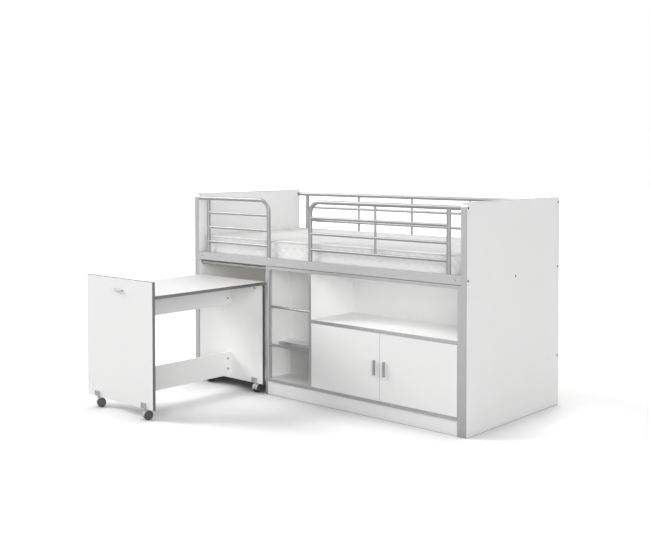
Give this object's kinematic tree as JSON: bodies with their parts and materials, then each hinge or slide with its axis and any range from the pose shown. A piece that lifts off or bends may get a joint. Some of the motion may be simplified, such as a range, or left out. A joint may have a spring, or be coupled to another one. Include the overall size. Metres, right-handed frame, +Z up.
{
  "type": "cabin bed",
  "caption": "Mid-height cabin bed with tube guard rails, slats, mattress, rung steps, hinged-door cupboard, open niche and a roll-out desk on swivel castors.",
  "frame": {"origin": "on the floor, under the middle of the overall box of the bed and its pulled-out desk", "axes": "+X along the bed to the right as seen from the front, +Y from the front to the back, +Z up"},
  "size_m": [2.072, 1.85, 1.2],
  "materials": {
    "white_board": "white melamine on chipboard, satin",
    "white_back_board": "white coated fibreboard, satin",
    "silver_edging": "silver-grey edging strip, satin",
    "silver_rail": "silver-grey foil on board, satin",
    "slat_wood": "plain planed softwood",
    "mattress_cover": "white quilted ticking",
    "silver_tube": "silver powder coat on steel tube, satin",
    "zinc_steel": "zinc plated",
    "handle_metal": "satin anodised",
    "castor_grey": "light grey moulded plastic",
    "castor_wheel": "dark grey moulded plastic"
  },
  "bodies": {
    "bed": {"end_panel_left": "white_board", "end_panel_right": "white_board", "cupboard_top": "white_board", "cupboard_side_left": "white_board", "cupboard_divider": "white_board", "cupboard_side_right": "white_board", "cupboard_floor": "white_board", "cupboard_plinth": "white_board", "niche_shelf": "white_board", "step_shelf": "white_board", "cupboard_back": "white_back_board", "step_bay_back": "white_back_board", "end_edging_left": "silver_edging", "end_edging_right": "silver_edging", "cupboard_edging": "silver_edging", "front_rail": "silver_rail", "back_rail": "silver_rail", "rear_stretcher": "silver_rail", "slat_ledges": "slat_wood", "middle_beam": "slat_wood", "slats": "slat_wood", "mattress": "mattress_cover", "guard_left_hoop": "silver_tube", "guard_right_hoop": "silver_tube", "guard_front_posts": "silver_tube", "guard_front_bars": "silver_tube", "guard_back_tube": "silver_tube", "guard_back_posts": "silver_tube", "guard_back_bars": "silver_tube", "guard_rods": "silver_tube", "bay_tube": "silver_tube", "step_upright": "silver_tube", "step_rungs": "silver_tube", "end_bolts": "zinc_steel", "barrel_nuts": "zinc_steel", "guard_screws": "zinc_steel"},
    "desk": {"desk_front_panel": "white_board", "desk_rear_panel": "white_board", "desktop": "white_board", "desk_apron": "white_board", "desk_lower_rail": "white_board", "desk_edging": "silver_edging", "desk_handle": "handle_metal", "desk_cams": "zinc_steel", "castor_brackets": "castor_grey", "castor_screws": "zinc_steel"},
    "castor_front_left": {"castor_fork_front_left": "castor_grey"},
    "wheels_front_left": {"castor_wheels_front_left": "castor_wheel"},
    "castor_front_right": {"castor_fork_front_right": "castor_grey"},
    "wheels_front_right": {"castor_wheels_front_right": "castor_wheel"},
    "castor_rear_left": {"castor_fork_rear_left": "castor_grey"},
    "wheels_rear_left": {"castor_wheels_rear_left": "castor_wheel"},
    "castor_rear_right": {"castor_fork_rear_right": "castor_grey"},
    "wheels_rear_right": {"castor_wheels_rear_right": "castor_wheel"},
    "door_left": {"door_left": "white_board", "door_handle_left": "handle_metal", "door_pivots_left": "zinc_steel"},
    "door_right": {"door_right": "white_board", "door_handle_right": "handle_metal", "door_pivots_right": "zinc_steel"}
  },
  "joints": [
    {"name": "desk_slide", "type": "slide", "parent": "bed", "child": "desk", "axis": [0, 1, 0], "range_m": [-0.3, 0.865]},
    {"name": "castor_swivel_front_left", "type": "hinge", "parent": "desk", "child": "castor_front_left", "pos_m": [-0.886, -0.90596, 0.06], "axis": [0, 0, 1], "continuous": true},
    {"name": "wheel_spin_front_left", "type": "hinge", "parent": "castor_front_left", "child": "wheels_front_left", "pos_m": [-0.87646, -0.8907, 0.025], "axis": [0.848, -0.5299, 0], "continuous": true},
    {"name": "castor_swivel_front_right", "type": "hinge", "parent": "desk", "child": "castor_front_right", "pos_m": [-0.462, -0.90596, 0.06], "axis": [0, 0, 1], "continuous": true},
    {"name": "wheel_spin_front_right", "type": "hinge", "parent": "castor_front_right", "child": "wheels_front_right", "pos_m": [-0.45584, -0.88905, 0.025], "axis": [0.9397, -0.342, 0], "continuous": true},
    {"name": "castor_swivel_rear_left", "type": "hinge", "parent": "desk", "child": "castor_rear_left", "pos_m": [-0.886, -0.05496, 0.06], "axis": [0, 0, 1], "continuous": true},
    {"name": "wheel_spin_rear_left", "type": "hinge", "parent": "castor_rear_left", "child": "wheels_rear_left", "pos_m": [-0.886, -0.03696, 0.025], "axis": [1, 0, 0], "continuous": true},
    {"name": "castor_swivel_rear_right", "type": "hinge", "parent": "desk", "child": "castor_rear_right", "pos_m": [-0.462, -0.05496, 0.06], "axis": [0, 0, 1], "continuous": true},
    {"name": "wheel_spin_rear_right", "type": "hinge", "parent": "castor_rear_right", "child": "wheels_rear_right", "pos_m": [-0.462, -0.03696, 0.025], "axis": [1, 0, 0], "continuous": true},
    {"name": "door_left_hinge", "type": "hinge", "parent": "bed", "child": "door_left", "pos_m": [-0.018, -0.02796, 0.284], "axis": [0, 0, -1], "range_deg": [0, 105]},
    {"name": "door_right_hinge", "type": "hinge", "parent": "bed", "child": "door_right", "pos_m": [0.974, -0.02796, 0.284], "axis": [0, 0, 1], "range_deg": [0, 105]}
  ]
}
